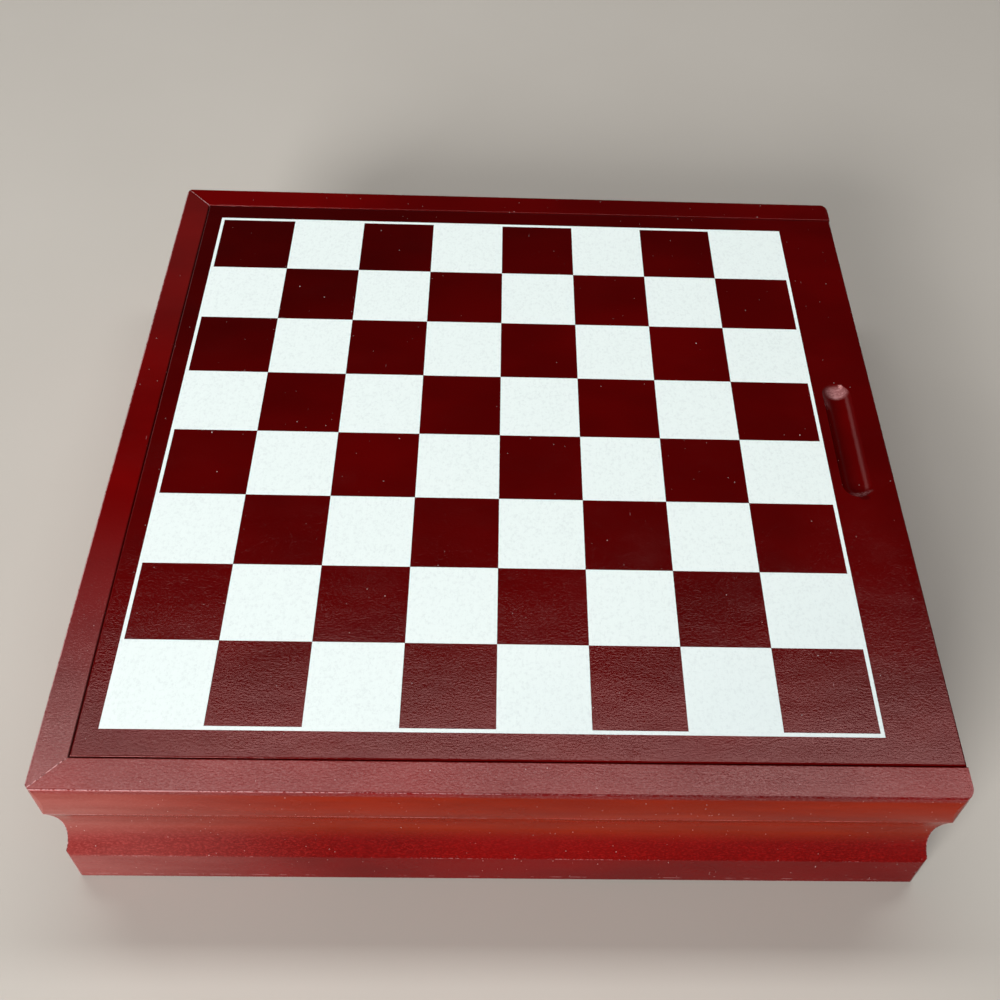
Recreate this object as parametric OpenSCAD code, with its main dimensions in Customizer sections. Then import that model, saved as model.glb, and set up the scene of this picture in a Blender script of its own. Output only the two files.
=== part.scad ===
// A square chess box. The playing board is the sliding lid, the walls are mitred moulding,
// and two drawers run below a divided tray and pull out at the players' ends.
// Origin at the middle of the underside; +X is the way the lid slides out, +Z is up.

/* [Board] */
// Side of one square of the board
square_w = 31; // [20:0.5:60]
// Width of the white line round the squares
line_w = 1.3; // [0.5:0.1:4]
// Room between the outer squares and the white line
line_out = 0.5; // [0:0.1:3]
// Thickness of the printed white layer
print_t = 0.1; // [0.05:0.01:0.5]
// Lid margin between the white line and the left rail
margin_left = 7; // [2:0.5:40]
// Lid margin between the white line and the open end, where the finger groove is
margin_right = 24.4; // [21:0.1:60]
// Lid margin between the white line and the front rail
margin_front = 9.5; // [2:0.5:40]
// Lid margin between the white line and the back rail
margin_back = 8.5; // [2:0.5:40]

/* [Walls] */
// Height of the box, underside to playing surface
box_h = 69.5; // [66:0.5:110]
// Thickness of the moulded walls
wall_t = 15; // [14:0.5:22]
// Width of the rails round the lid, seen from above
rail_w = 11.7; // [10:0.1:12.4]
// Height of the full band at the top of the moulding, down to the edge where the hollow starts
band_h = 18.3; // [17:0.1:20]
// Distance from the top of the box to the fullest line of the band
band_drop = 8.3; // [7:0.1:9.5]
// How far the band's lower edge stands back from its fullest line
band_d = 1; // [0.6:0.1:1.4]
// Height of the flat foot of the moulding
base_h = 18.7; // [16:0.1:22]
// How far the foot stands back from the band's fullest line
base_d = 0.7; // [0.2:0.1:1.5]
// Depth of the hollow, from the band's fullest line
cove_d = 4; // [2:0.1:4.4]
// Distance from the top of the box to the deepest line of the hollow
cove_drop = 33.5; // [28:0.5:40]
// Radius on the outer top edge
top_r = 0.8; // [0.3:0.1:2]
// Radius on the outer bottom edge
foot_r = 1.2; // [0.3:0.1:2]
// Radius that the upright outer corners are rounded to, by narrow flats
corner_r = 5; // [2:0.5:8]
// Length of the key in each mitre, measured across the joint
key_w = 8; // [6:0.5:8.5]
// Thickness of the keys
key_t = 2.5; // [1.5:0.5:4]
// Height of the keys
key_h = 42; // [20:1:44]
// Distance from the outer corner of the plan to the middle of a key, along either side
key_in = 9.8; // [9.5:0.1:10]

/* [Sliding lid] */
// Thickness of the rail's lip over the lid's tongue
lip_t = 4.5; // [3:0.1:6]
// Height of the groove under the lip
groove_h = 4.6; // [3:0.1:6]
// Depth of the groove behind the lip's edge
groove_d = 4; // [2:0.5:4.5]
// How far the lid stops short of the open end
lid_short = 0.3; // [0:0.1:2]
// Radius on the lid's top edges
lid_r = 0.5; // [0.2:0.1:1.5]
// Length of the finger groove
pull_l = 58; // [40:1:90]
// Width of the finger groove at the surface
pull_w = 11.5; // [8:0.5:12]
// Depth of the finger groove in the lid
pull_d = 3.5; // [3:0.1:4]
// Distance from the lid's open end to the middle of the finger groove
pull_in = 14.9; // [8:0.1:17]
// Shift of the finger groove towards the back
pull_back = 2.5; // [0:0.5:10]

/* [Floor and tray] */
// Height of the bottom panel above the table
bottom_up = 1; // [0.5:0.1:3]
// Thickness of the bottom panel
bottom_t = 3; // [2:0.5:5]
// Width of the rebate that the bottom panel sits in
rebate_w = 5; // [3:0.5:7]
// Thickness of the tray's floor
deck_t = 3; // [2:0.5:5]
// Thickness of the felt
felt_t = 1; // [0.5:0.1:2]
// Distance from the top of the wall lining to the lid's ledge
lining_down = 2.4; // [1:0.2:8]
// Thickness of the tray's dividers
divider_t = 4; // [3:0.5:8]
// Distance from the top of the tray's dividers to the lid's ledge
divider_down = 1.4; // [0.6:0.2:10]
// Length of a brad in the bottom panel
brad_l = 14; // [8:1:20]
// Diameter of a brad's shank
brad_d = 1.4; // [1:0.1:2]
// Diameter of a brad's head
brad_head_d = 3; // [2:0.1:4]
// Thickness of a brad's head
brad_head_t = 0.6; // [0.3:0.1:1]

/* [Drawers] */
// Height of the window that a drawer runs in
bay_h = 30; // [26:0.5:32]
// Height that the drawer's back stands above the window, which stops the drawer
stop_h = 1.5; // [1:0.1:3]
// Width of the bearers beside the drawers
bearer_w = 16; // [8:0.5:30]
// Width of the rail between the two drawers
centre_w = 12; // [6:0.5:30]
// Thickness of a drawer's front
front_t = 13; // [12:0.5:15]
// Thickness of a drawer's sides and back
side_t = 6; // [4:0.5:8]
// Depth that a side is let into the front
lap_d = 4; // [2:0.5:4.5]
// Thickness of a drawer's bottom
drawer_floor_t = 3; // [2:0.5:4]
// Distance from the top of a drawer's divider to the top of the drawer
drawer_divider_down = 5.4; // [2:0.2:15]
// Width of the finger groove at the drawer's face
front_pull_w = 10; // [8:0.5:11]
// Distance from the drawer's face to the middle of its finger groove
front_pull_in = 2; // [1:0.1:2.5]

/* [Fits] */
// Running gap round the lid and the drawers
run_gap = 0.3; // [0.2:0.05:0.6]
// Gap round a piece that is glued or pressed in
fit_gap = 0.1; // [0.05:0.05:0.3]
// Hairline between neighbouring printed squares
hairline = 0.05; // [0.02:0.01:0.2]

/* [Hidden] */

$fn = 64;
arc_fn = 360;      // segments of the moulding's large arcs
corner_flats = 4;  // flats round an upright outer corner, an even number
cut = 1;           // overshoot of a cutting shape past the surface it opens
squares = 8;       // squares along one side of the board
brads_x = 5;       // brads along the front and back walls
brads_y = 3;       // brads along the centre rail
tray_columns = 3;  // cells of the tray from left to right

lacquer = [0.42, 0.05, 0.06];
ink = [0.92, 0.94, 0.93];
bare_wood = [0.80, 0.62, 0.42];
ply = [0.86, 0.72, 0.52];
felt = [0.07, 0.25, 0.16];
steel = [0.70, 0.70, 0.72];

// The board sets the plan: squares, white line, margins, then the rails outside them.
board_w = squares * square_w + 2 * (line_out + line_w);
box_l = rail_w + run_gap + margin_left + board_w + margin_right + lid_short;
box_w = 2 * (rail_w + run_gap) + margin_front + board_w + margin_back;
board_x = -box_l / 2 + rail_w + run_gap + margin_left + board_w / 2;
board_y = (margin_front - margin_back) / 2;

inner_l = box_l - 2 * wall_t;
inner_w = box_w - 2 * wall_t;

// Heights of the wall's features
lip_z = box_h - lip_t;
ledge_z = lip_z - groove_h;
band_z = box_h - band_h;
full_z = box_h - band_drop;
cove_z = box_h - cove_drop;

// Radius of the full band, and of the hollow's two arcs, which meet upright at its deepest line
band_r = arc_radius(full_z - band_z, band_d);
cove_low_r = arc_radius(cove_z - base_h, cove_d - base_d);
cove_high_r = arc_radius(band_z - cove_z, cove_d - band_d);

// Heights inside
floor_z = bottom_up + bottom_t;
bay_z = floor_z + bay_h;
deck_z = bay_z + stop_h;
tray_z = deck_z + deck_t + felt_t;
key_z = (ledge_z - key_h) / 2;
divider_h = ledge_z - divider_down - tray_z;

// Lid
lid_end_x = box_l / 2 - lid_short;
lid_z = ledge_z + run_gap;
tongue_t = groove_h - 2 * run_gap;
pull_r = (pow(pull_w / 2, 2) + pow(pull_d, 2)) / (2 * pull_d);

// Drawer
bay_w = inner_w - 2 * bearer_w;
drawer_w = bay_w - 2 * run_gap;
drawer_z = floor_z + run_gap;
drawer_top_z = bay_z - run_gap;
side_z = drawer_z + drawer_floor_t;
front_back_x = box_l / 2 - front_t;
drawer_end_x = centre_w / 2 + run_gap;
back_front_x = drawer_end_x + side_t;
front_pull_z = (drawer_z + base_h) / 2;
front_pull_r = sqrt(pow(front_pull_w / 2, 2) + pow(front_pull_in, 2));

// Radius of an arc that is sunk by rise over half a chord
function arc_radius(half_chord, rise) = (pow(half_chord, 2) + pow(rise, 2)) / (2 * rise);

// What a radius r leaves of a square corner at the origin
module corner_waste(r) {
    difference() {
        translate([-cut, -cut]) square(r + cut);
        translate([r, r]) circle(r);
    }
}

// The wood outside the full band. It runs past the band's lower edge and past the top.
module band_waste() {
    difference() {
        translate([-2 * cut, band_z - cut]) square([6 * cut, band_h + 2 * cut]);
        translate([band_r, full_z]) circle(band_r, $fn = arc_fn);
    }
}

// The wood outside the hollow: one arc below its deepest line and one above. Both run
// past the edges where the hollow starts and ends.
module cove() {
    intersection() {
        translate([cove_d - cove_low_r, cove_z]) circle(cove_low_r, $fn = arc_fn);
        translate([-2 * cut, base_h - cut]) square([cove_d + 3 * cut, cove_z - base_h + cut]);
    }
    intersection() {
        translate([cove_d - cove_high_r, cove_z]) circle(cove_high_r, $fn = arc_fn);
        translate([-2 * cut, cove_z]) square([cove_d + 3 * cut, band_z - cove_z + cut]);
    }
}

// How far the full band stands back at height z
function band_x(z) = band_r - sqrt(pow(band_r, 2) - pow(z - full_z, 2));

// Section of a wall: x runs inwards from the band's fullest line, y runs up
module wall_section() {
    difference() {
        translate([-cut, 0]) square([wall_t + cut, box_h]);
        band_waste();
        cove();
        translate([-2 * cut, -cut]) square([base_d + 2 * cut, base_h + 2 * cut]);
        translate([base_d, 0]) corner_waste(foot_r);
        translate([band_x(box_h - 2 * top_r), box_h]) mirror([0, 1]) corner_waste(top_r);
        translate([rail_w, box_h]) rotate(180) corner_waste(lid_r);
        translate([rail_w, ledge_z]) square([wall_t, box_h]);
        translate([rail_w - groove_d, ledge_z]) square([wall_t, groove_h]);
        translate([wall_t - rebate_w, -cut]) square([rebate_w + cut, floor_z + cut]);
    }
}

// A section carried along X for a length: its x becomes Y and its y becomes Z
module along_x(len) {
    translate([-len / 2, 0, 0]) rotate([90, 0, 90]) linear_extrude(len) children();
}

// Angle between neighbouring flats of a corner
flat_turn = 90 / (corner_flats + 1);

// The kth meeting of flats, in from the corner: 0 lies on the wall's outermost line
function flat_meet(k) = let (a = (k + 0.5) * flat_turn, r = corner_r / cos(flat_turn / 2))
    [corner_r - r * sin(a), corner_r - r * cos(a)];

// Outline of the corner at +X, with its first flat run on past the outermost line
function corner_points(len, last) = concat(
    [[len / 2 - flat_meet(0)[0] - cut / tan(flat_turn), -cut]],
    [for (k = [1 : last]) [len / 2 - flat_meet(k)[0], flat_meet(k)[1]]]);

// Plan of half a wall with a mitre at +X
module half_mitred_plan(len) {
    polygon(concat([[0, -cut]], corner_points(len, corner_flats / 2),
        [[len / 2 - wall_t, wall_t], [0, wall_t]]));
}

// Plan of a wall with mitred ends
module mitred_plan(len) {
    half_mitred_plan(len);
    mirror([1, 0]) half_mitred_plan(len);
}

// Plan of half a wall that runs on square to its end at +X
module square_plan(len) {
    polygon(concat([[0, -cut]], corner_points(len, corner_flats),
        [[len / 2, wall_t], [0, wall_t]]));
}

// A wall with mitred ends. through is 1 or -1 for the end where the part above
// the lid's ledge runs on square, past the lowered right wall, and 0 for none.
module mitred_wall(len, through = 0) {
    intersection() {
        along_x(len + 2 * cut) wall_section();
        union() {
            linear_extrude(box_h) mitred_plan(len);
            if (through != 0)
                translate([0, 0, ledge_z]) linear_extrude(box_h - ledge_z)
                    mirror([through > 0 ? 0 : 1, 0]) square_plan(len);
        }
    }
}

// Places for a wall, whose outermost line is at its y = 0
module at_front() { translate([0, -box_w / 2, 0]) children(); }
module at_back() { translate([0, box_w / 2, 0]) rotate(180) children(); }
module at_left() { translate([-box_l / 2, 0, 0]) rotate(-90) children(); }
module at_right() { translate([box_l / 2, 0, 0]) rotate(90) children(); }

// The four keys, each standing across a mitre; gap widens them into their slots
module keys(gap = 0) {
    for (sx = [-1, 1], sy = [-1, 1])
        translate([sx * (box_l / 2 - key_in), sy * (box_w / 2 - key_in), key_z + key_h / 2])
            rotate(-45 * sx * sy)
                cube([key_w + 2 * gap, key_t + 2 * gap, key_h + 2 * gap], center = true);
}

// Window that a drawer runs in, through the left or the right wall
module bay_window() {
    translate([-bay_w / 2, -cut, floor_z]) cube([bay_w, wall_t + 2 * cut, bay_h]);
}

// A round-nosed cut along Y, as a ball-ended cutter leaves it; len is between its ends' centres
module round_nosed_cut(r, len) {
    rotate([-90, 90, 0]) rotate_extrude() translate([0, -len / 2]) intersection() {
        union() {
            square([r, len]);
            circle(r);
            translate([0, len]) circle(r);
        }
        translate([0, -r]) square([r, len + 2 * r]);
    }
}

module front_wall() {
    color(lacquer) difference() {
        at_front() mitred_wall(box_l, 1);
        keys(fit_gap);
    }
}

module back_wall() {
    color(lacquer) difference() {
        at_back() mitred_wall(box_l, -1);
        keys(fit_gap);
    }
}

module left_wall() {
    color(lacquer) difference() {
        at_left() mitred_wall(box_w);
        at_left() bay_window();
        keys(fit_gap);
    }
}

module right_wall() {
    color(lacquer) difference() {
        at_right() mitred_wall(box_w);
        translate([0, -box_w / 2 - cut, ledge_z]) cube([box_l, box_w + 2 * cut, box_h]);
        at_right() bay_window();
        keys(fit_gap);
    }
}

module mitre_keys() {
    color(ply) keys();
}

module bottom_panel() {
    over = 2 * (rebate_w - fit_gap);
    color(ply) translate([-(inner_l + over) / 2, -(inner_w + over) / 2, bottom_up])
        cube([inner_l + over, inner_w + over, bottom_t]);
}

// One brad, driven up from the underside of the bottom panel
module brad() {
    cylinder(h = brad_head_t, d = brad_head_d);
    cylinder(h = brad_l, d = brad_d);
}

module panel_brads() {
    row_y = box_w / 2 - wall_t + rebate_w / 2;
    step_x = inner_l / brads_x;
    step_y = bay_w / brads_y;
    color(steel) translate([0, 0, bottom_up]) {
        for (i = [0 : brads_x - 1], s = [-1, 1])
            translate([(i - (brads_x - 1) / 2) * step_x, s * row_y, 0]) brad();
        for (i = [0 : brads_y - 1])
            translate([0, (i - (brads_y - 1) / 2) * step_y, 0]) brad();
    }
}

// A bearer beside the drawers, which carries the tray's floor; side is -1 or 1
module bearer(side) {
    y = side > 0 ? bay_w / 2 : -inner_w / 2;
    color(bare_wood) translate([-inner_l / 2 + fit_gap, y, floor_z])
        cube([inner_l - 2 * fit_gap, bearer_w - fit_gap * (1 + side) / 2, deck_z - floor_z]);
}

module front_bearer() { bearer(-1); }
module back_bearer() { bearer(1); }

module centre_rail() {
    color(bare_wood) translate([-centre_w / 2, -bay_w / 2 + fit_gap, floor_z])
        cube([centre_w, bay_w - 2 * fit_gap, deck_z - floor_z]);
}

// A sheet that fills the inside of the walls
module inner_sheet(z, t) {
    translate([-inner_l / 2 + fit_gap, -inner_w / 2 + fit_gap, z])
        cube([inner_l - 2 * fit_gap, inner_w - 2 * fit_gap, t]);
}

module deck_panel() { color(ply) inner_sheet(deck_z, deck_t); }
module deck_felt() { color(felt) inner_sheet(deck_z + deck_t, felt_t); }

// Felt on the inner face of a wall, in the wall's own place
module lining(len) {
    color(felt) translate([-len / 2, wall_t, tray_z])
        cube([len, felt_t, ledge_z - lining_down - tray_z]);
}

lining_l = inner_l - 2 * fit_gap;
lining_w = inner_w - 2 * felt_t - 2 * fit_gap;

module front_lining() { at_front() lining(lining_l); }
module back_lining() { at_back() lining(lining_l); }
module left_lining() { at_left() lining(lining_w); }
module right_lining() { at_right() lining(lining_w); }

// Places of the cross dividers along X
divider_x = inner_l / tray_columns / 2;

// A divider along X, standing on the felt
module divider(len) {
    translate([-len / 2, -divider_t / 2, tray_z]) cube([len, divider_t, divider_h]);
}

// Half-height slot for another divider, from z up to z + half the height
module halving(z) {
    w = divider_t + 2 * fit_gap;
    translate([-w / 2, -w / 2, z]) cube([w, w, divider_h / 2 + fit_gap]);
}

module long_divider() {
    color(bare_wood) difference() {
        divider(inner_l - 2 * (felt_t + fit_gap));
        for (s = [-1, 1]) translate([s * divider_x, 0, 0]) halving(tray_z + divider_h / 2);
    }
}

module cross_divider(x) {
    color(bare_wood) translate([x, 0, 0]) difference() {
        rotate(90) divider(inner_w - 2 * (felt_t + fit_gap));
        halving(tray_z - fit_gap);
    }
}

module left_cross_divider() { cross_divider(-divider_x); }
module right_cross_divider() { cross_divider(divider_x); }

// What the radius takes from one of the lid's top edges, with that edge along X
module lid_edge_waste(len) {
    translate([0, 0, box_h]) along_x(len) mirror([0, 1]) corner_waste(lid_r);
}

module lid_panel() {
    field_x = -box_l / 2 + rail_w + run_gap;
    field_y = box_w / 2 - rail_w - run_gap;
    tongue_x = field_x - groove_d;
    tongue_y = field_y + groove_d;
    color(lacquer) difference() {
        union() {
            translate([field_x, -field_y, lid_z])
                cube([lid_end_x - field_x, 2 * field_y, box_h - lid_z]);
            translate([tongue_x, -tongue_y, lid_z])
                cube([lid_end_x - tongue_x, 2 * tongue_y, tongue_t]);
        }
        translate([0, -field_y, 0]) lid_edge_waste(box_l);
        translate([0, field_y, 0]) rotate(180) lid_edge_waste(box_l);
        translate([field_x, 0, 0]) rotate(-90) lid_edge_waste(box_w);
        translate([lid_end_x, 0, 0]) rotate(90) lid_edge_waste(box_w);
        translate([lid_end_x - pull_in, pull_back, box_h - pull_d + pull_r])
            round_nosed_cut(pull_r, pull_l - pull_w);
    }
}

// Edges of a square of the printed pattern. The outer squares run on into the white line.
function low_edge(i) = (i - squares / 2) * square_w + (i == 0 ? -line_out - line_w / 2 : hairline);
function high_edge(i) = -low_edge(squares - 1 - i);

// The white squares and the line round them. A square whose column and row add up to
// an even number is white, so each player at the left and right ends has white at the right hand.
module board_print() {
    color(ink) translate([board_x, board_y, box_h]) linear_extrude(print_t) {
        for (i = [0 : squares - 1], j = [0 : squares - 1])
            if ((i + j) % 2 == 0)
                translate([low_edge(i), low_edge(j)])
                    square([high_edge(i) - low_edge(i), high_edge(j) - low_edge(j)]);
        difference() {
            square(board_w, center = true);
            square(board_w - 2 * line_w, center = true);
        }
    }
}

// Drawers are drawn for the right end; the left one is the same, turned half round.
module left_end() { rotate(180) children(); }

// Pocket in the front for the end of a side; s is -1 or 1
module lap_pocket(s) {
    y = s > 0 ? drawer_w / 2 - side_t : -drawer_w / 2 - cut;
    translate([front_back_x - cut, y, side_z]) cube([lap_d + cut, side_t + cut, box_h]);
}

module drawer_front() {
    color(lacquer) difference() {
        at_right() along_x(drawer_w) intersection() {
            wall_section();
            translate([0, drawer_z]) square([front_t, drawer_top_z - drawer_z]);
        }
        for (s = [-1, 1]) lap_pocket(s);
        translate([box_l / 2 - base_d - front_pull_in, 0, front_pull_z])
            round_nosed_cut(front_pull_r, pull_l - front_pull_w);
    }
}

// A side; s is -1 for the one towards -Y and 1 for the one towards +Y
module drawer_side(s) {
    y = s > 0 ? drawer_w / 2 - side_t : -drawer_w / 2;
    color(bare_wood) translate([back_front_x, y, side_z])
        cube([front_back_x + lap_d - fit_gap - back_front_x, side_t, drawer_top_z - side_z]);
}

module drawer_back() {
    color(bare_wood) translate([drawer_end_x, -drawer_w / 2, side_z])
        cube([side_t, drawer_w, deck_z - run_gap - side_z]);
}

module drawer_bottom() {
    color(ply) translate([drawer_end_x, -drawer_w / 2, drawer_z])
        cube([front_back_x - drawer_end_x, drawer_w, drawer_floor_t]);
}

// Room inside a drawer, less a fit gap all round
module drawer_inside(y, w, z, h) {
    translate([back_front_x + fit_gap, y, z])
        cube([front_back_x - back_front_x - 2 * fit_gap, w, h]);
}

module drawer_divider() {
    z = side_z + felt_t;
    color(bare_wood) drawer_inside(-divider_t / 2, divider_t, z, drawer_top_z - drawer_divider_down - z);
}

module drawer_felt() {
    w = drawer_w - 2 * side_t - 2 * fit_gap;
    color(felt) drawer_inside(-w / 2, w, side_z, felt_t);
}

module right_drawer_front() { drawer_front(); }
module right_drawer_near_side() { drawer_side(-1); }
module right_drawer_far_side() { drawer_side(1); }
module right_drawer_back() { drawer_back(); }
module right_drawer_bottom() { drawer_bottom(); }
module right_drawer_divider() { drawer_divider(); }
module right_drawer_felt() { drawer_felt(); }
module left_drawer_front() { left_end() drawer_front(); }
module left_drawer_near_side() { left_end() drawer_side(1); }
module left_drawer_far_side() { left_end() drawer_side(-1); }
module left_drawer_back() { left_end() drawer_back(); }
module left_drawer_bottom() { left_end() drawer_bottom(); }
module left_drawer_divider() { left_end() drawer_divider(); }
module left_drawer_felt() { left_end() drawer_felt(); }

front_wall();
back_wall();
left_wall();
right_wall();
mitre_keys();
bottom_panel();
panel_brads();
front_bearer();
back_bearer();
centre_rail();
deck_panel();
deck_felt();
front_lining();
back_lining();
left_lining();
right_lining();
long_divider();
left_cross_divider();
right_cross_divider();
lid_panel();
board_print();
left_drawer_front();
left_drawer_near_side();
left_drawer_far_side();
left_drawer_back();
left_drawer_bottom();
left_drawer_divider();
left_drawer_felt();
right_drawer_front();
right_drawer_near_side();
right_drawer_far_side();
right_drawer_back();
right_drawer_bottom();
right_drawer_divider();
right_drawer_felt();
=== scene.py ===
# %% [markdown]
# # A lacquered chess box
#
# The box is a square case of mitred moulding. Its lid is the chessboard, which slides out to the
# right, and two drawers run below the tray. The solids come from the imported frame, where they
# already have their true shape. This lesson gives them their finishes, cuts the felt that lies
# in the box, and sets up a plain studio.

# %% Load the frame
import math

import bpy
import numpy as np
from mathutils import Matrix, Vector


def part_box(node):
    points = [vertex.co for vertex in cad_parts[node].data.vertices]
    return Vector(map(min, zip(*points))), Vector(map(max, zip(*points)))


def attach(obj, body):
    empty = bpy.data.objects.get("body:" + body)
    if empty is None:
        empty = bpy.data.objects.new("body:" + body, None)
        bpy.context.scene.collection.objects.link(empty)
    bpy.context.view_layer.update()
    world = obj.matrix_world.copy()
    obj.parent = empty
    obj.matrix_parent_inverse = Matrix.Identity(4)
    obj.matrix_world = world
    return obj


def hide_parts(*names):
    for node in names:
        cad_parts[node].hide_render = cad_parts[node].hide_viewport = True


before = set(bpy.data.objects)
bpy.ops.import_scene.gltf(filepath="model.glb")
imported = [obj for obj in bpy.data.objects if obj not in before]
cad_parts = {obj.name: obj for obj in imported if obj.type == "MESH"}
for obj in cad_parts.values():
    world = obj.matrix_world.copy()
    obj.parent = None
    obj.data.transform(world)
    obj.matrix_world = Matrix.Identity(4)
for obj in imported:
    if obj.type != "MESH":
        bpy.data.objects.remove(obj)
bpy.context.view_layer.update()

MM = 0.001          # the frame is in metres, and the sizes below are in millimetres

# %% [markdown]
# ## Sizes that the finishes need
#
# Wear and joint lines follow the box's edges, so the finishes have to know where those edges
# are. They are read from the frame and not typed in again: if the box grows, the wear moves.

# %% Read the sizes in millimetres
def node_box(name):
    """Lowest and highest corner of a node, in millimetres."""
    low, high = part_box(name)
    return np.array(low) / MM, np.array(high) / MM


case_high = node_box("front_wall")[1]
back_high = node_box("back_wall")[1]
right_high = node_box("right_wall")[1]
lid_high = node_box("lid_panel")[1]
print_low, print_high = node_box("board_print")

half_l = case_high[0]        # from the middle of the box to its ends
half_w = back_high[1]        # and to its front and back
top_z = case_high[2]
ledge_z = right_high[2]      # the lowered right wall, over which the lid slides
print("box", 2 * half_l, "x", 2 * half_w, "x", top_z, "mm, ledge at", ledge_z)

# %% [markdown]
# ## A small language for materials
#
# A Blender material is a graph of nodes. Drawing a graph by hand in code takes many lines, so
# `Wire` stands for one output in the graph and lets Python's own `+`, `-`, `*` and `/` add the
# Math nodes. `1 - mask` works too, because the reflected forms are there. `Finish` is one
# material: its `node` method adds any other node, `done` feeds the shader, and `elsewhere` adds
# a second shader where a mask is 1.

# %% Wires and finishes
class Wire:
    """An output of a node. Arithmetic on it adds Math nodes to the same material."""

    def __init__(self, finish, socket):
        self.finish, self.socket = finish, socket

    def math(self, operation, a, b=0.0):
        return self.finish.node("ShaderNodeMath", {"operation": operation}, {0: a, 1: b})

    def __add__(self, other):
        return self.math("ADD", self, other)

    def __radd__(self, other):
        return self.math("ADD", other, self)

    def __sub__(self, other):
        return self.math("SUBTRACT", self, other)

    def __rsub__(self, other):
        return self.math("SUBTRACT", other, self)

    def __mul__(self, other):
        return self.math("MULTIPLY", self, other)

    def __rmul__(self, other):
        return self.math("MULTIPLY", other, self)

    def __truediv__(self, other):
        return self.math("DIVIDE", self, other)

    def __abs__(self):
        return self.math("ABSOLUTE", self)


class Finish:
    """A material with a Principled shader. Places are object coordinates in millimetres."""

    def __init__(self, name):
        self.material = bpy.data.materials.new(name)
        self.material.use_nodes = True
        self.tree = self.material.node_tree
        self.tree.nodes.clear()
        self.shader = self.tree.nodes.new("ShaderNodeBsdfPrincipled")
        self.output = self.tree.nodes.new("ShaderNodeOutputMaterial")
        self.tree.links.new(self.shader.outputs[0], self.output.inputs["Surface"])
        metres = self.node("ShaderNodeTexCoord", {}, {}, "Object")
        self.place = self.node("ShaderNodeVectorMath", {"operation": "SCALE"},
                               {0: metres, "Scale": 1 / MM})
        self.x, self.y, self.z = (self.node("ShaderNodeSeparateXYZ", {}, {0: self.place}, axis)
                                  for axis in "XYZ")

    def node(self, kind, settings, sockets, out=0):
        """Adds a node. Settings come first, then a value or a wire for each named socket."""
        made = self.tree.nodes.new(kind)
        for name, value in settings.items():
            setattr(made, name, value)
        for key, value in sockets.items():
            if isinstance(value, Wire):
                self.tree.links.new(value.socket, made.inputs[key])
            else:
                made.inputs[key].default_value = value
        return Wire(self, made.outputs[out])

    def feed(self, shader, sockets):
        """Feeds a shader: the key base_color stands for its Base Color socket."""
        for key, value in sockets.items():
            target = shader.inputs[key.replace("_", " ").title().replace("Ior", "IOR")]
            if isinstance(value, Wire):
                self.tree.links.new(value.socket, target)
            else:
                target.default_value = value

    def done(self, **sockets):
        self.feed(self.shader, sockets)
        return self.material

    def elsewhere(self, mask, **sockets):
        """Where the mask is 1, a second shader takes the first one's place."""
        second = self.tree.nodes.new("ShaderNodeBsdfPrincipled")
        self.feed(second, sockets)
        both = self.node("ShaderNodeMixShader", {}, {
            0: mask, 1: Wire(self, self.shader.outputs[0]), 2: Wire(self, second.outputs[0])})
        self.tree.links.new(both.socket, self.output.inputs["Surface"])

# %% [markdown]
# ## Words of that language
#
# Most finishes are made of the same few things: a noise that may be stretched along one
# direction, a soft threshold that turns a value into a mask, a scatter of dots, a mix of two
# colours and a bump. Each gets a short function here, so a finish reads like a recipe.

# %% Noise, masks, colours and bumps
def stretched(f, size, offset=(0, 0, 0)):
    """The place divided by a size along each axis: a pattern of period 1 then has that size."""
    moved = f.node("ShaderNodeVectorMath", {"operation": "ADD"}, {0: f.place, 1: offset})
    return f.node("ShaderNodeVectorMath", {"operation": "DIVIDE"}, {0: moved, 1: size})


def noise(f, size, detail=2.0, rough=0.5, warp=0.0, offset=(0, 0, 0)):
    """Smooth noise between 0 and 1, with lumps of the given size in millimetres."""
    return f.node("ShaderNodeTexNoise", {}, {
        "Vector": stretched(f, size, offset), "Scale": 1.0, "Detail": detail,
        "Roughness": rough, "Distortion": warp})


def above(f, value, low, high):
    """0 where value is under low, 1 where it is over high, and a soft step between them."""
    return f.node("ShaderNodeMapRange", {"interpolation_type": "SMOOTHSTEP"},
                  {"Value": value, "From Min": low, "From Max": high})


def dots(f, spacing, radius, keep, offset=(0, 0, 0), drawn=(1, 1, 1)):
    """Scattered dots: cells of the given spacing, each with a dot of up to that radius.

    A dot is where the distance to its cell's point is under the radius, and only the share
    keep of the cells, picked by the red of the cell's own colour, holds one. drawn makes the
    dots longer along an axis.
    """
    at = stretched(f, tuple(spacing * part for part in drawn), offset)
    near = f.node("ShaderNodeTexVoronoi", {}, {"Vector": at, "Scale": 1.0}, "Distance")
    colour = f.node("ShaderNodeTexVoronoi", {}, {"Vector": at, "Scale": 1.0}, "Color")
    lot = f.node("ShaderNodeSeparateColor", {}, {0: colour}, 0)
    grain = f.node("ShaderNodeSeparateColor", {}, {0: colour}, 1)
    reach = radius / spacing * (0.45 + grain * 0.55)
    return (1 - above(f, near / reach, 0.7, 1.1)) * (1 - above(f, lot, keep, keep + 0.01))


def mixed(f, mask, a, b):
    """Colour a where the mask is 0 and colour b where it is 1."""
    return f.node("ShaderNodeMix", {"data_type": "RGBA"},
                  {"Factor": mask, 6: colour4(a), 7: colour4(b)}, 2)


def colour4(colour):
    """A colour of three numbers gets its alpha; a wire stays as it is."""
    return colour if isinstance(colour, Wire) else (*colour, 1.0)


def bump(f, height, depth, under=None):
    """A normal raised by height times depth, which is in millimetres."""
    sockets = {"Height": height, "Distance": depth * MM, "Strength": 1.0}
    if under is not None:
        sockets["Normal"] = under
    return f.node("ShaderNodeBump", {}, sockets)

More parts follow.
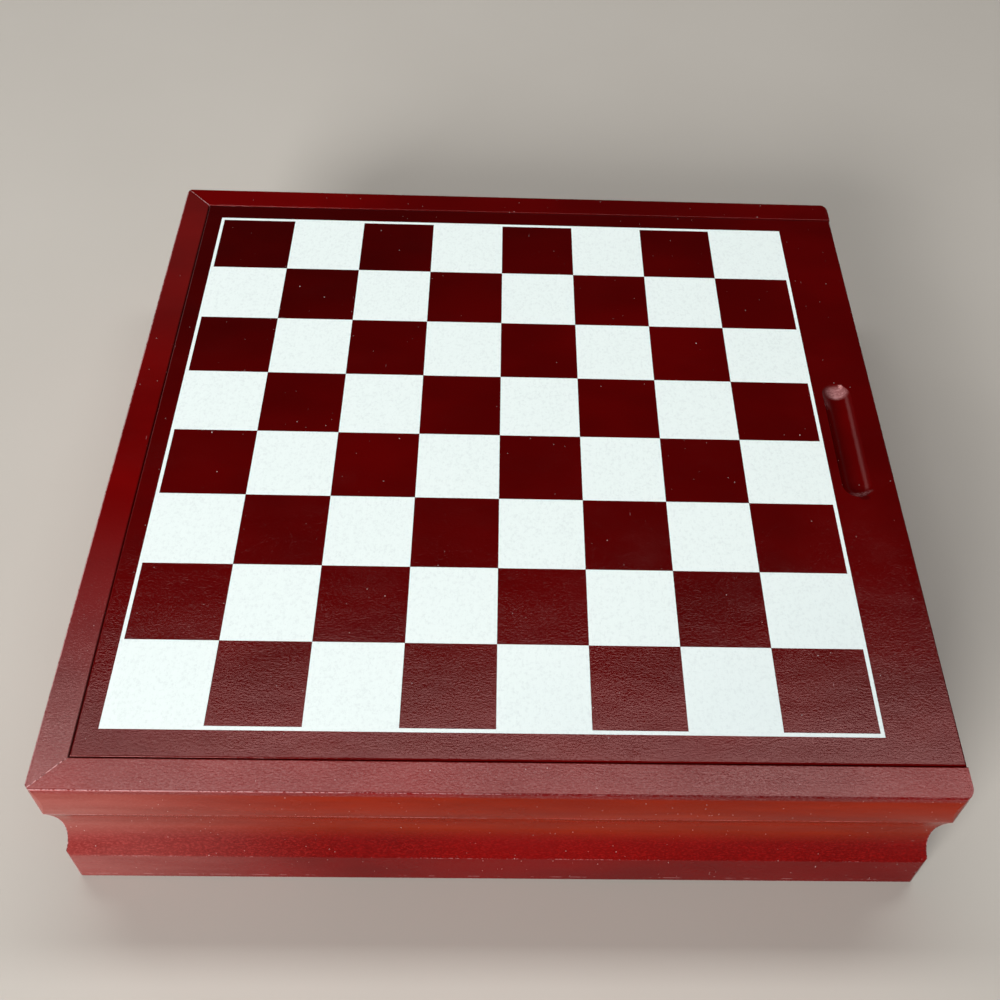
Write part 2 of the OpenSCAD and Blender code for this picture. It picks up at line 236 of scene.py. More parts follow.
# %% [markdown]
# ## Lacquer
#
# The real box is sprayed with a dark red lacquer. What makes it look sprayed and used, and not
# like plastic, is that the coat is never quite flat, so a soft sheen breaks up into fine
# ripples, and that it has been handled: the outer edges have lost tiny flakes, which show as
# pale specks. The ripple is a noise wider than it is high, about a millimetre long. It could be
# modelled, but it is only hundredths of a millimetre deep, so a bump is enough.

# %% The ripple of a sprayed coat
CASE_RIPPLE, LID_RIPPLE = 0.045, 0.056    # how deep, in millimetres


def sprayed_ripple(f, depth):
    """The unevenness of a sprayed coat: fine ridges over broad, shallow waves."""
    fine = noise(f, (1.0, 0.55, 0.55), detail=2.0, rough=0.6)
    broad = noise(f, (14, 9, 9), detail=1.0)
    return bump(f, broad, 1.5 * depth, bump(f, fine, depth))

# %% [markdown]
# Wear and joint lines are masks made of distances: how far a place is in from the box's outermost
# planes, and how high it stands. A line is where such a distance is close to a given value, and
# chips are a noise that is let through on that line only.

# %% Lines along the edges and joints
ARRIS_IN, ARRIS_DOWN = 0.9, 0.12     # middle of the rounded top edge, from the outermost planes
CREASE_DOWN, FOOT_EDGE = 18.3, 18.7  # band's lower edge from the top, and the foot's from below
PALE_LINE_UP = 3.0                       # height of a pale broken line round the foot
SKIN = 6.0                           # the moulding's outer face lies no deeper than this


def inwards(f):
    """How far a place is from the nearer of the box's outermost planes, in plan."""
    return f.node("ShaderNodeMath", {"operation": "MINIMUM"},
                  {0: half_w - abs(f.y), 1: half_l - abs(f.x)})


def thin_line(f, off, half_width):
    """1 where off is near 0, with soft sides half_width away."""
    return 1 - above(f, off, 0.6 * half_width, 1.5 * half_width)


def edge_line(f, half_width):
    """The outer top edge as a thin line."""
    off = f.node("ShaderNodeMath", {"operation": "MAXIMUM"},
                 {0: abs(inwards(f) - ARRIS_IN), 1: abs(top_z - ARRIS_DOWN - f.z)})
    return thin_line(f, off, half_width)


def level_line(f, height, half_width):
    """A line at one height round the moulding's outer face."""
    outer = 1 - above(f, inwards(f), SKIN, SKIN + 1)
    return outer * thin_line(f, abs(f.z - height), half_width)


def past_mitre(f):
    """How much nearer a place is to the box's end than to its front or back: 0 on the joint."""
    return (half_w - abs(f.y)) - (half_l - abs(f.x))


def mitre_line(f, width):
    """The joint line at the corners, where the distances from both outer faces are the same.

    The part above the ledge runs on square at the right end, so there is no line there.
    """
    line = 1 - above(f, abs(past_mitre(f)), width / 2, width)
    square_end = above(f, f.x, 0, 1) * above(f, f.z, ledge_z - 0.5, ledge_z)
    return line * (1 - square_end)


def flecks(f, size, share, offset=(0, 0, 0)):
    """Small pale chips that come and go: share is how much of the line they cover."""
    chips = noise(f, (size, size, size), detail=2.0, rough=0.7, offset=offset)
    patches = noise(f, (40, 25, 25), detail=2.0, offset=(37, 0, 9))
    return above(f, chips + 0.5 * (patches - 0.5), 0.62 - 0.3 * share, 0.70 - 0.3 * share)

# %% [markdown]
# The case was sprayed after the moulding was cut. The band and the upper side of the hollow,
# which face out and down, get a blotchy orange-brown that is a painted reflection. The lower
# side, which faces up, has a bright grain, made stronger to the left by painted light, and the
# lower half gets painted shade, less of it to the left. The left end and the rails near it get a
# greyish painted sheen. All this is colour, mixed in by masks of height and of place.

# %% The case's colours
BROWN_REFLECTION = ((0.150, 0.0080, 0.0006), (0.205, 0.0120, 0.0010))   # painted brownish reflection, in darker and paler blotches
PINK_SHEEN = (0.290, 0.100, 0.088)    # painted greyish-pink sheen, strongest at the left end, where the light comes from
GREY_SHEEN = (0.10, 0.075, 0.075)      # painted grey sheen at the near end of the left rail
PEBBLE = (0.270, 0.002, 0.002)   # bright red grain low in the hollow; made stronger to the left, it is partly painted light
# pale dust specks; on the front rail the same colour is a painted grain of sheen
DUST_AND_SHEEN = (0.74, 0.62, 0.60)
# painted shade: mixed in where the light is taken to be weaker
SHADE_BLACK = (0.0, 0.0, 0.0)


def moulding_zones(f):
    """Masks down the moulding: all of it, its lower half, and the hollow's part of that half."""
    moulding = 1 - above(f, f.z, top_z - 2.5, top_z - 1.0)
    lower = moulding * (1 - above(f, f.z, FOOT_EDGE + 6, FOOT_EDGE + 20))
    hollow = lower * above(f, f.z, FOOT_EDGE - 1, FOOT_EDGE + 1)
    return moulding, lower, hollow


def moulding_colour(f, colour, zones, grain):
    """Painted reflection above, painted shade low down, a bright grain in the hollow's lower half,
    and painted sheen to the left.
    """
    moulding, lower, hollow = zones
    blotch = above(f, noise(f, (60, 30, 9), detail=4.0, rough=0.6, offset=(8, 1, 4)), 0.3, 0.7)
    reflecting_faces = moulding * above(f, f.z, FOOT_EDGE + 8, FOOT_EDGE + 18)
    leftwards = above(f, 0 - f.x, 50, 155)
    # painted brownish reflection on the faces that look out and down
    colour = mixed(f, reflecting_faces * 0.9, colour, mixed(f, blotch, *BROWN_REFLECTION))
    # painted shade over the lower half, less of it to the left
    colour = mixed(f, lower * (0.23 - 0.20 * leftwards), colour, SHADE_BLACK)
    # bright grain, made stronger to the left by painted light
    colour = mixed(f, hollow * grain * (0.5 + 0.3 * leftwards), colour, PEBBLE)
    # painted sheen towards the left end
    painted_sheen = moulding * leftwards * (1 - 0.55 * hollow) * (0.60 + 0.40 * blotch)
    colour = mixed(f, painted_sheen * 0.60, colour, PINK_SHEEN)
    # grain of painted sheen on the moulding, stronger to the left
    return mixed(f, moulding * grain * (0.02 + 0.24 * leftwards), colour, PINK_SHEEN)


def rail_colour(f, colour, moulding, grain):
    """The tops of the left rail, with painted sheen at its ends, and of the front rail, with
    painted shade at x > 0.
    """
    left = (1 - moulding) * above(f, past_mitre(f), -0.2, 0.2) * above(f, 0 - f.x, 0, 1)
    # painted sheen on the far half of the left rail
    colour = mixed(f, left * above(f, f.y, 0, 110) * 0.05, colour, PINK_SHEEN)
    # painted grey sheen on the near end of the left rail
    colour = mixed(f, left * above(f, 0 - f.y, 30, 110) * 0.28, colour, GREY_SHEEN)
    front = (1 - moulding) * above(f, 0 - f.y, 80, 142)
    # painted shade on the front rail at x > 0
    rail_shade = above(f, f.x, -40, 40) * (1 - above(f, f.x, 90, 140))
    colour = mixed(f, front * rail_shade * 0.28, colour, SHADE_BLACK)
    # painted sheen on the left part of the front rail
    colour = mixed(f, front * above(f, 0 - f.x, 50, 130) * 0.16, colour, PINK_SHEEN)
    # painted grain of sheen near the front edge, where the overhead sheen falls
    return mixed(f, front * grain * 0.06, colour, DUST_AND_SHEEN)


def case_chips(f, seam):
    """Chips on the case's edges, more of them towards the left, and in its joint lines."""
    left = above(f, 0 - f.x, -60, 90)
    top = (0.15 + 0.60 * left) * edge_line(f, 0.11) * flecks(f, 0.8, 0.35 + 0.40 * left)
    crease = ((0.45 + 0.35 * left) * level_line(f, top_z - CREASE_DOWN, 0.26)
              * flecks(f, 0.8, 0.45 + 0.25 * left, (5, 5, 0)))
    foot = 0.25 * level_line(f, FOOT_EDGE, 0.20) * flecks(f, 0.8, 0.20, (9, 2, 4))
    pale_foot_line = 0.50 * level_line(f, PALE_LINE_UP, 0.10) * flecks(f, 6.0, 0.25, (9, 7, 4))
    return top + crease + foot + pale_foot_line + 0.8 * seam * flecks(f, 0.8, 0.55, (1, 8, 2))

# %% [markdown]
# The lid's one mark of use is its finger groove. Fingertips have scratched the near end, beside a
# nick in its rim, and the far end gets a painted pink highlight. Each is a soft ellipsoid round a
# place.

# %% Wear in the lid's finger groove
PULL_IN, PULL_MID, PULL_HALF = 14.9, 2.5, 29.0   # the groove: from the end, along y, half length


def spot(f, at, reach):
    """1 at a place and 0 outside an ellipsoid round it, whose half sizes are reach."""
    off = f.node("ShaderNodeVectorMath", {"operation": "SUBTRACT"}, {0: f.place, 1: at})
    off = f.node("ShaderNodeVectorMath", {"operation": "DIVIDE"}, {0: off, 1: reach})
    distance = f.node("ShaderNodeVectorMath", {"operation": "LENGTH"}, {0: off}, 1)
    return 1 - above(f, distance, 0.5, 1.1)


def groove_wear(f):
    """Masks of the painted highlight on the far end with the scratched near end, and of the nick.
    """
    fine = above(f, noise(f, (1.6, 0.5, 0.5), detail=2.0, rough=0.7, offset=(1, 2, 3)), 0.4, 0.65)
    mid_x, far_y, near_y = lid_high[0] - PULL_IN, PULL_MID + PULL_HALF, PULL_MID - PULL_HALF
    below_rim = 1 - above(f, f.z, lid_high[2] - 0.3, lid_high[2])
    # painted pink highlight on the groove's far end
    cap_highlight = spot(f, (mid_x + 0.6, far_y - 3.3, lid_high[2] - 1.5), (5.2, 3.0, 4.0))
    near_end = spot(f, (mid_x + 1.2, near_y + 3.2, lid_high[2] - 1.0), (4.8, 1.8, 4.0))
    nick = spot(f, (mid_x + 1.8, near_y - 0.2, lid_high[2]), (2.4, 1.5, 3.0))
    highlight_and_scratches = below_rim * cap_highlight * (0.36 + 0.34 * fine) + near_end * fine * 0.42
    return highlight_and_scratches, nick * 0.6

# %% [markdown]
# The case and the lid were sprayed apart: the rails are redder, the lid is a darker board. One
# recipe makes both, with the joint lines and the worn edges only where there are such edges. The
# colour is cloudy, and a painted shade darkens it towards one side, for light that falls off
# across the box. Lacquer mirrors softly. The moulding is duller than the flat tops, and hardly
# mirrors the floor, so it gets a second shader, with less of a mirror in it.

# %% The lacquer recipe
FLAKE = (0.62, 0.33, 0.33)       # bare, chalky edge of a chip
SEAM = (0.030, 0.0, 0.0)         # shadow in a joint
# painted pink highlight on the groove's far end, and the scratches at its near end
PINK_HIGHLIGHT_AND_SCRATCH = (0.42, 0.20, 0.20)
RED_MIRROR = (1.0, 0.52, 0.50, 1.0)


def clamped(f, value):
    return f.node("ShaderNodeClamp", {}, {0: value})


def lacquer(name, deep, clear, ripple, on_case, shade_ramp):
    """Red lacquer between the colours deep and clear, with case wear if on_case is true.

    shade_ramp is (x, y, start, end, share): along the direction (x, y) a painted shade darkens
    the colour from start to end, in millimetres, until share of its light is gone.
    """
    f = Finish(name)
    cloud = noise(f, (70, 45, 45), detail=3.0, rough=0.55)
    colour = mixed(f, above(f, cloud, 0.3, 0.7), deep, clear)
    way_x, way_y, start, end, share = shade_ramp
    # painted shade: darker along one direction, for light that falls off across the box
    ramp_shade = above(f, f.x * way_x + f.y * way_y, start, end)
    colour = mixed(f, ramp_shade * share, colour, SHADE_BLACK)
    specks = dots(f, 6.0, 0.26, 0.20) + 0.6 * dots(f, 2.2, 0.20, 0.16, offset=(11, 5, 3))
    worn = 0.30 * dots(f, 1.1, 0.14, 0.012, offset=(3, 1, 7), drawn=(1, 9, 4))
    if on_case:
        grain = above(f, noise(f, (1.0, 0.6, 0.6), detail=2.0, rough=0.7, offset=(2, 4, 8)),
                      0.42, 0.72)
        moulding, lower, hollow = moulding_zones(f)
        colour = moulding_colour(f, colour, (moulding, lower, hollow), grain)
        colour = rail_colour(f, colour, moulding, grain)
        seam = mitre_line(f, 0.30)
        colour = mixed(f, seam * 0.7, colour, SEAM)
        specks = specks + 0.6 * moulding * dots(f, 1.9, 0.18, 0.16, offset=(7, 2, 9))
        worn = worn + case_chips(f, seam)
    else:
        highlight_and_scratches, nick = groove_wear(f)
        colour = mixed(f, highlight_and_scratches, colour, PINK_HIGHLIGHT_AND_SCRATCH)
        colour = mixed(f, nick, colour, SEAM)
    colour = mixed(f, clamped(f, worn), colour, FLAKE)
    colour = mixed(f, clamped(f, specks), colour, DUST_AND_SHEEN)
    normal = sprayed_ripple(f, ripple)
    smear = above(f, noise(f, (38, 22, 30), detail=4.0, rough=0.6, offset=(5, 9, 0)), 0.45, 0.75)
    rough = 0.125 + 0.07 * smear + 0.3 * specks
    if on_case:
        f.elsewhere(moulding, base_color=colour, roughness=rough + 0.12, normal=normal,
                    specular_ior_level=0.05)
    print(name, "has", len(f.tree.nodes), "nodes")
    return f.done(base_color=colour, roughness=rough, normal=normal,
                  specular_ior_level=0.28, specular_tint=RED_MIRROR)


CASE_RED = (0.118, 0.0004, 0.0006), (0.170, 0.0009, 0.0010)
LID_RED = (0.066, 0.0001, 0.0002), (0.091, 0.0002, 0.0003)
# the last tuple of each is its painted shade ramp
case_lacquer = lacquer("case_lacquer", *CASE_RED, CASE_RIPPLE, True, (0, 1, -60, 20, 0.20))
back_lacquer = lacquer("back_lacquer", *CASE_RED, CASE_RIPPLE, True, (1, 0, -120, -20, 0.50))
lid_lacquer = lacquer("lid_lacquer", *LID_RED, LID_RIPPLE, False, (-0.45, 1, 0, 160, 0.46))

# %% [markdown]
# ## White ink
#
# The light squares and the line are screen-printed: a flat, slightly cool white, with fine
# streaks along the squeegee's stroke, a mottle where the ink lay thin, and a few grey smudges
# from play. Towards the near right corner it is bluer. The print is a thin solid in the frame,
# so its finish needs no mask of squares.

# %% The ink recipe
INK_THIN, INK_FULL = (0.79, 0.872, 0.848), (0.83, 0.910, 0.885)
MOTTLE, BLUER = (0.48, 0.53, 0.54), (0.50, 0.58, 0.61)
SMUDGE, GRIT = (0.50, 0.54, 0.55), (0.22, 0.20, 0.20)


def white_ink():
    f = Finish("white_ink")
    streak = noise(f, (0.5, 60, 60), detail=2.0)
    mottle = noise(f, (1.0, 1.3, 1.3), detail=2.0, rough=0.7, offset=(6, 3, 0))
    smudge = above(f, noise(f, (9, 5, 5), detail=4.0, rough=0.7, offset=(3, 8, 0)), 0.68, 0.80)
    grit = dots(f, 12.0, 0.30, 0.14, offset=(2, 6, 1))
    colour = mixed(f, above(f, streak, 0.35, 0.7) * 0.3, INK_THIN, INK_FULL)
    colour = mixed(f, above(f, mottle, 0.45, 0.75) * 0.25, colour, MOTTLE)
    near_right = above(f, 0.5 * f.x - f.y, 80, 190)
    colour = mixed(f, near_right * 0.25, colour, BLUER)
    colour = mixed(f, smudge * 0.22, colour, SMUDGE)
    colour = mixed(f, grit * 0.6, colour, GRIT)
    fine = noise(f, (0.9, 0.6, 0.6), detail=2.0)
    return f.done(base_color=colour, roughness=0.34 + 0.10 * smudge,
                  normal=bump(f, fine, 0.012), specular_ior_level=0.12)


ink = white_ink()

# %% [markdown]
# ## Bare wood and plywood
#
# Inside, nothing is lacquered. Planed wood has long, thin lines along its length: here a noise
# is stretched thirty times along the grain for the broad growth lines, over a hundred times for
# the thin ones, and bent a little. Plywood has the same face, and on its edges the dark middle
# layer shows between two pale ones.

# %% Wood recipes
WOOD = (0.66, 0.46, 0.27), (0.52, 0.32, 0.16)         # between the growth lines, and on them
PLY = (0.72, 0.54, 0.34), (0.60, 0.41, 0.23)
PLY_CORE = (0.28, 0.16, 0.08)
LINE_DARK, PORE_DARK = 0.62, 0.35                     # share of the tan that is left there


def along(axis, length, across):
    """A size that is long along one axis and short along the others."""
    return tuple(length if name == axis else across for name in "XYZ")


def wood_colour(f, axis, pale, tan):
    """Growth lines, broad and fine, with short dark pores."""
    broad = noise(f, along(axis, 160, 5.0), detail=3.0, rough=0.6, warp=0.4)
    lines = noise(f, along(axis, 90, 0.7), detail=3.0, rough=0.65)
    pores = above(f, noise(f, along(axis, 7, 0.25), detail=1.0, offset=(4, 4, 4)), 0.66, 0.74)
    colour = mixed(f, above(f, broad, 0.3, 0.7), pale, tan)
    colour = mixed(f, above(f, lines, 0.45, 0.75) * 0.45, colour,
                   tuple(LINE_DARK * c for c in tan))
    return mixed(f, pores * 0.35, colour, tuple(PORE_DARK * c for c in tan)), lines


def bare_wood(name, axis):
    f = Finish(name)
    colour, lines = wood_colour(f, axis, *WOOD)
    return f.done(base_color=colour, roughness=0.52 + 0.16 * lines,
                  normal=bump(f, lines, 0.03))


def plywood(name, axis, panel):
    """Plywood whose middle third, seen on the edges, is darker. panel gives its heights."""
    f = Finish(name)
    colour, lines = wood_colour(f, axis, *PLY)
    low, high = node_box(panel)
    layer = (f.z - float(low[2])) / float(high[2] - low[2])
    core = 1 - above(f, abs(layer - 0.5), 0.15, 0.19)
    normal = f.node("ShaderNodeNewGeometry", {}, {}, "Normal")
    upright = f.node("ShaderNodeSeparateXYZ", {}, {0: normal}, "Z")
    edge = 1 - above(f, abs(upright), 0.3, 0.7)
    colour = mixed(f, core * edge * 0.8, colour, PLY_CORE)
    return f.done(base_color=colour, roughness=0.55 + 0.15 * lines, normal=bump(f, lines, 0.02))


wood_x = bare_wood("wood_along_x", "X")
wood_y = bare_wood("wood_along_y", "Y")

# %% [markdown]
# ## Steel
#
# The brads are drawn wire: bright, with fine marks round them from the tool, and tarnished here
# and there.

# %% The steel recipe
BRIGHT, TARNISH = (0.60, 0.60, 0.61), (0.33, 0.30, 0.27)


def brad_steel():
    f = Finish("brad_steel")
    marks = noise(f, (0.3, 0.3, 0.08), detail=3.0)
    tarnish = above(f, noise(f, (2, 2, 2), detail=2.0), 0.5, 0.7)
    colour = mixed(f, tarnish * 0.6, BRIGHT, TARNISH)
    return f.done(base_color=colour, metallic=1.0, roughness=0.28 + 0.25 * marks,
                  normal=bump(f, marks, 0.02))


steel = brad_steel()

# %% [markdown]
# ## Dressing the solids
#
# A solid from the frame keeps its mesh and its place, and only its material slot is filled. The
# lacquered outside and the bare inside are separate pieces on the real box, and so they are
# here. Grain runs along each piece's longest side.

# %% Put the finishes on the solids
def dress(node, material):
    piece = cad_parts[node]
    for slot in piece.material_slots:
        slot.material = material


for wall in ("front_wall", "left_wall", "right_wall"):
    dress(wall, case_lacquer)
dress("back_wall", back_lacquer)
for side in ("left", "right"):
    dress(f"{side}_drawer_front", case_lacquer)
    dress(f"{side}_drawer_near_side", wood_x)
    dress(f"{side}_drawer_far_side", wood_x)
    dress(f"{side}_drawer_back", wood_y)
    dress(f"{side}_drawer_divider", wood_x)
    dress(f"{side}_drawer_bottom", plywood(f"{side}_drawer_ply", "Y", f"{side}_drawer_bottom"))
    dress(f"{side}_cross_divider", wood_y)
dress("lid_panel", lid_lacquer)
dress("board_print", ink)
for rail in ("front_bearer", "back_bearer", "long_divider"):
    dress(rail, wood_x)
dress("centre_rail", wood_y)
dress("bottom_panel", plywood("bottom_ply", "X", "bottom_panel"))
dress("deck_panel", plywood("deck_ply", "X", "deck_panel"))
dress("mitre_keys", plywood("key_ply", "Z", "mitre_keys"))
dress("panel_brads", steel)
print("materials:", len(bpy.data.materials))

# %% [markdown]
# ## Felt
#
# Felt is a soft sheet, so the frame's plain solids for it are replaced. The real sheet is cut
# with a knife, lies on glue, and is never dead flat: its face dips and swells by a tenth of a
# millimetre and its cut edge is a little rounded. Each sheet is one closed surface: an upper
# face worked out on a grid of (u, v), and a lower face joined to it along the border.

# %% The felt's surface
SWELL = 0.045        # share of the thickness that the face dips by, on average
GRID = 4             # distance between the grid's stations, in millimetres
ROUNDING = 0.4       # radius of the cut edge, as a share of the thickness
FEWEST = 8           # stations across a narrow sheet


def edge_spaced(length, radius, count):
    """Stations from 0 to length: count in the middle, and five close together at each end.

    At an end they are at radius * (1 - cos(turn)), so they follow the rounded edge.
    """
    turn = np.linspace(0, math.pi / 2, 5)
    start = radius * (1 - np.cos(turn))
    middle = np.linspace(radius, length - radius, count + 2)[1:-1]
    return np.concatenate([start, middle, length - start[::-1]])


def felt_surface(width, length, thick, seed):
    """Vertices and faces of a sheet that lies on z = 0, with its corner at the origin.

    The upper face's height is thick, less a swell of three slow waves, and near the border it
    falls along a quarter circle: radius - sqrt(radius^2 - (radius - d)^2) at distance d.
    """
    radius = ROUNDING * thick
    u = edge_spaced(width, radius, max(FEWEST, int(width / GRID)))
    v = edge_spaced(length, radius, max(FEWEST, int(length / GRID)))
    x, y = np.meshgrid(u, v, indexing="ij")
    d = np.minimum.reduce([x, width - x, y, length - y])
    inside = np.clip(radius - d, 0, radius)
    fall = radius - np.sqrt(radius ** 2 - inside ** 2)
    phase = np.random.default_rng(seed).uniform(0, 2 * math.pi, 6)
    swell = (np.sin(x / 17 + phase[0]) * np.sin(y / 23 + phase[1])
             + 0.6 * np.sin(x / 7.3 + phase[2] + 0.4 * np.sin(y / 11)) * np.sin(y / 9.1 + phase[3])
             + 0.4 * np.sin(x / 3.1 + phase[4]) * np.sin(y / 4.3 + phase[5]))
    z = thick * (1 - SWELL * (1 + swell / 2)) - fall
    top = np.stack([x, y, z], -1).reshape(-1, 3)
    bottom = np.stack([x, y, np.zeros_like(z)], -1).reshape(-1, 3)
    nu, nv = len(u), len(v)
    at = np.arange(nu * nv).reshape(nu, nv)
    face = np.stack([at[:-1, :-1], at[1:, :-1], at[1:, 1:], at[:-1, 1:]], -1).reshape(-1, 4)
    rim = np.concatenate([at[:, 0], at[-1, 1:], at[-2::-1, -1], at[0, -2:0:-1]])
    after = np.roll(rim, -1)
    under = nu * nv
    side = np.stack([rim + under, after + under, after, rim], -1)
    return (np.concatenate([top, bottom]),
            np.concatenate([face, face[:, ::-1] + under, side]))

# %% [markdown]
# The felt's colour is a deep green with lighter fibres lying every way, and it has a pile, which
# the shader's sheen gives: it is brightest where the surface turns away.

# %% The felt's finish
FIBRES = (0.012, 0.060, 0.034), (0.040, 0.150, 0.085)     # deep in the pile, and at its tips
TUFTS, LINT = (0.055, 0.165, 0.10), (0.30, 0.34, 0.30)


def hairs(f, size, width):
    """Thin lines where a stretched noise passes through its middle value."""
    middle = abs(noise(f, size, detail=0.0) - 0.5)
    return 1 - above(f, middle, 0.0, width)


def felt_finish():
    f = Finish("green_felt")
    fibre = noise(f, (0.35, 0.35, 0.35), detail=4.0, rough=0.8, warp=1.6)
    tuft = noise(f, (3.5, 3.5, 3.5), detail=3.0, rough=0.6)
    colour = mixed(f, above(f, fibre, 0.35, 0.7), *FIBRES)
    colour = mixed(f, above(f, tuft, 0.45, 0.7) * 0.35, colour, TUFTS)
    lint = hairs(f, (2.2, 1.4, 2.2), 0.004) * above(f, noise(f, (9, 9, 9)), 0.62, 0.66)
    colour = mixed(f, lint * 0.4, colour, LINT)
    return f.done(base_color=colour, roughness=0.95, normal=bump(f, fibre + 0.5 * tuft, 0.12),
                  sheen_weight=0.35, sheen_roughness=0.5, specular_ior_level=0.15)


felt = felt_finish()

# %% [markdown]
# Each sheet fills the box of the node that it replaces, so it takes its size from there. Its own
# x, y and z are carried to the box's axes, with the soft side up on the floors and inwards on
# the walls. The node stays in the frame for collision, and is hidden.

# %% The sheets
def turned(axis):
    """Directions in the box of the sheet's own x, y and z, with its z along the given one."""
    x, y, z = np.eye(3)
    return {"+Z": (x, y, z), "+Y": (z, x, y), "-Y": (x, z, -y),
            "+X": (y, z, x), "-X": (z, y, -x)}[axis]


def lay_felt(node, axis, body):
    low, high = node_box(node)
    size = high - low
    across, up, out = turned(axis)
    width, length, thick = (abs(size @ column) for column in (across, up, out))
    points, faces = felt_surface(width, length, thick, seed=len(node))
    corner = np.where(out < 0, high, low)
    points = (corner + points @ np.stack([across, up, out])) * MM
    mesh = bpy.data.meshes.new(node + "_sheet")
    mesh.from_pydata(points.tolist(), [], faces.tolist())
    mesh.materials.append(felt)
    mesh.polygons.foreach_set("use_smooth", np.ones(len(faces), bool))
    piece = bpy.data.objects.new(node + "_sheet", mesh)
    bpy.context.scene.collection.objects.link(piece)
    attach(piece, body)
    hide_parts(node)
    width * MM
    length * MM
    print(node, f"{width:.1f} x {length:.1f} x {thick:.1f} mm,", len(faces), "faces")


lay_felt("deck_felt", "+Z", "case")
lay_felt("front_lining", "+Y", "case")
lay_felt("back_lining", "-Y", "case")
lay_felt("left_lining", "+X", "case")
lay_felt("right_lining", "-X", "case")
for side in ("left", "right"):
    lay_felt(f"{side}_drawer_felt", "+Z", f"{side}_drawer")

# %% [markdown]
# ## The camera
#
# The photograph is taken from above the front edge, a little left of the middle. The board's
# corners fix the camera: its place, what its middle looks at, a slight roll, the focal length in
# pixels and the pixel that the lens's own axis meets. That pixel isn't the picture's middle,
# because the picture was cropped, and the shift makes up for it.

# %% Set up the camera
PICTURE = 1000                            # width and height of the photograph, in pixels
camera_at = Vector((-6.1, -309.2, 428.3)) * MM
looks_at = Vector((8.6, -5.6, top_z)) * MM
roll = math.radians(3.2)
focal_px = 1227.8
axis_px = (529.6, 448.0)

lens = bpy.data.cameras.new("camera")
lens.sensor_width = 36.0
lens.lens = lens.sensor_width * focal_px / PICTURE
lens.shift_x = (PICTURE / 2 - axis_px[0]) / PICTURE
lens.shift_y = (axis_px[1] - PICTURE / 2) / PICTURE
lens.clip_start, lens.clip_end = 0.01, 50.0
camera = bpy.data.objects.new("camera", lens)
camera.matrix_world = (Matrix.Translation(camera_at)
                       @ (looks_at - camera_at).to_track_quat("-Z", "Y").to_matrix().to_4x4()
                       @ Matrix.Rotation(roll, 4, "Z"))
bpy.context.scene.collection.objects.link(camera)
bpy.context.scene.camera = camera


def pixel_of(point):
    """Where a point of the frame lands in the picture, to compare with the photograph."""
    x, y, z = camera.matrix_world.inverted() @ Vector(point)
    return (round(axis_px[0] - focal_px * x / z, 1), round(axis_px[1] + focal_px * y / z, 1))


for x, y in (print_low[:2], print_high[:2]):
    print(f"board corner {x:.1f}, {y:.1f} lands at", pixel_of((x * MM, y * MM, top_z * MM)))

# %% [markdown]
# ## Floor and light
#
# The floor is plain and pale, and the light is soft. A wide, shallow soft box hangs overhead. The
# rails and the near margin of the lid mirror it as a grey-pink sheen, which ends where its far
# edge is mirrored, in the first row of squares. The rest of the board mirrors the air behind
# the box, which is dim well above the horizon, so the red stays deep there. The second soft box
# stands in front, to the left, and lights the moulding. The third is small and weak, behind to
# the left, and the right wall of the finger groove mirrors it. None shows itself to the camera.

# %% The floor
FLOOR_DARK, FLOOR_PALE = (0.49, 0.455, 0.405), (0.53, 0.495, 0.445)
FLOOR_HALF = 6.0     # metres


def floor_finish():
    f = Finish("pale_floor")
    mottle = noise(f, (120, 120, 120), detail=3.0)
    colour = mixed(f, mottle, FLOOR_DARK, FLOOR_PALE)
    return f.done(base_color=colour, roughness=0.65)


floor_mesh = bpy.data.meshes.new("floor")
floor_mesh.from_pydata([(sx * FLOOR_HALF, sy * FLOOR_HALF, 0.0)
                        for sx, sy in ((-1, -1), (1, -1), (1, 1), (-1, 1))], [], [(0, 1, 2, 3)])
floor_mesh.materials.append(floor_finish())
floor = bpy.data.objects.new("floor", floor_mesh)
bpy.context.scene.collection.objects.link(floor)

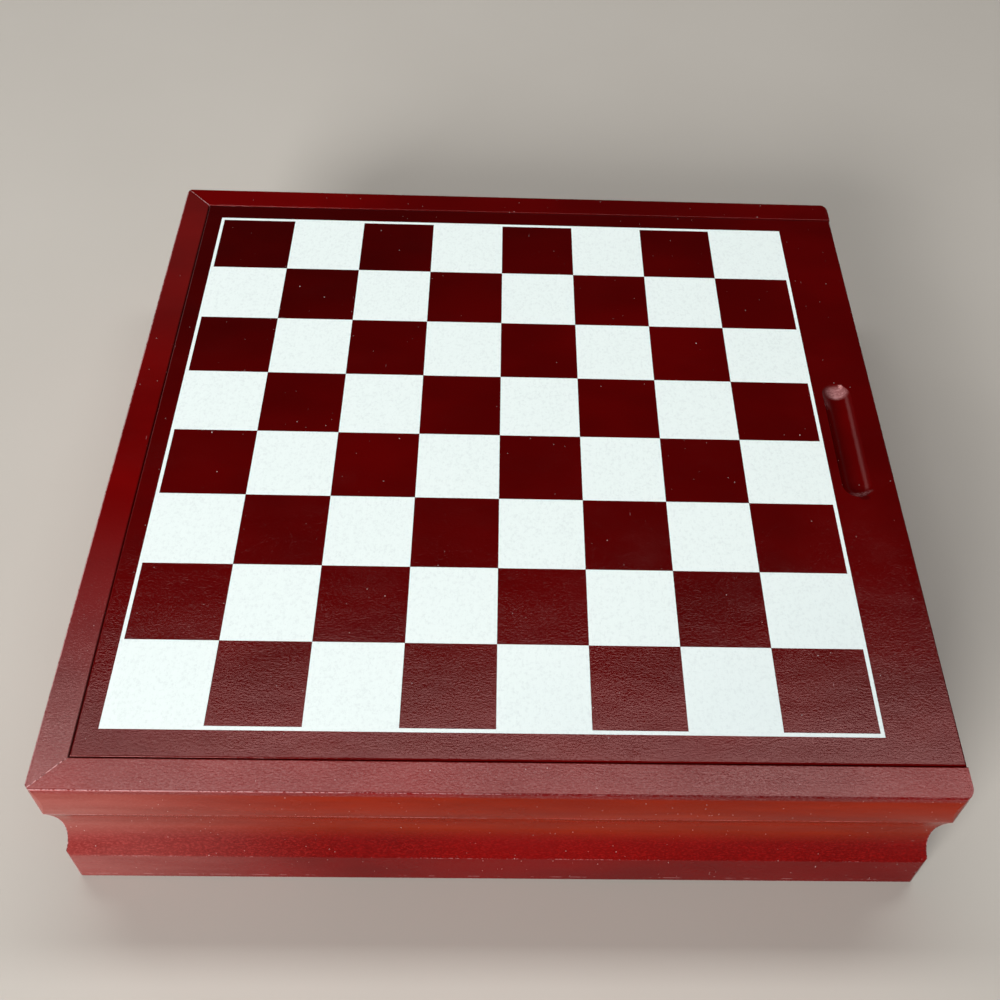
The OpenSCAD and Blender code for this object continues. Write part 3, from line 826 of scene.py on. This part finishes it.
# %% The lights
def soft_box(name, at, aims_at, size, radiance):
    """A rectangular soft light that faces a point. Its power is pi times area times radiance."""
    light = bpy.data.lights.new(name, "AREA")
    light.shape, light.size, light.size_y = "RECTANGLE", size[0], size[1]
    light.energy = math.pi * size[0] * size[1] * radiance
    lamp = bpy.data.objects.new(name, light)
    lamp.location = at
    lamp.rotation_euler = (Vector(aims_at) - Vector(at)).to_track_quat("-Z", "Y").to_euler()
    lamp.visible_camera = False
    bpy.context.scene.collection.objects.link(lamp)
    print(name, f"{light.energy:.1f} W")


BOX_MIDDLE = (0.0, 0.0, 0.03)
OVER_X, OVER_Y, OVER_UP = 0.02, 0.3625, 1.27
soft_box("overhead", (OVER_X, OVER_Y, OVER_UP), (OVER_X, OVER_Y, 0.0), (1.5, 0.245), 9.3)
soft_box("front_key", (-0.8, -1.5, 0.75), BOX_MIDDLE, (0.9, 0.7), 23.5)
soft_box("back_fill", (-0.8, 0.8, 0.58), BOX_MIDDLE, (0.4, 0.4), 1.6)

# %% [markdown]
# The air round the studio is a sky of two greys, which sets how dark the unlit sides get. It is
# lighter at the horizon, for the views from low down, and nearly black from half way up. The
# climb of a direction is the Z of its unit vector: 0 at the horizon and 1 overhead.

# %% The surroundings
HORIZON, DIM = (0.22, 0.225, 0.23, 1.0), (0.022, 0.022, 0.024, 1.0)
CLIMB_FROM, CLIMB_TO = 0.12, 0.52      # the first grey gives way to the second between these
world = bpy.data.worlds.new("studio")
world.use_nodes = True
air = world.node_tree
direction = air.nodes.new("ShaderNodeTexCoord").outputs["Generated"]
split = air.nodes.new("ShaderNodeSeparateXYZ")
climb = air.nodes.new("ShaderNodeMapRange")
climb.interpolation_type = "SMOOTHSTEP"
climb.inputs["From Min"].default_value = CLIMB_FROM
climb.inputs["From Max"].default_value = CLIMB_TO
greys = air.nodes.new("ShaderNodeMix")
greys.data_type = "RGBA"
greys.inputs[6].default_value, greys.inputs[7].default_value = HORIZON, DIM
air.links.new(direction, split.inputs[0])
air.links.new(split.outputs["Z"], climb.inputs["Value"])
air.links.new(climb.outputs[0], greys.inputs["Factor"])
air.links.new(greys.outputs[2], air.nodes["Background"].inputs["Color"])
bpy.context.scene.world = world
bpy.context.scene.view_settings.view_transform = "Standard"
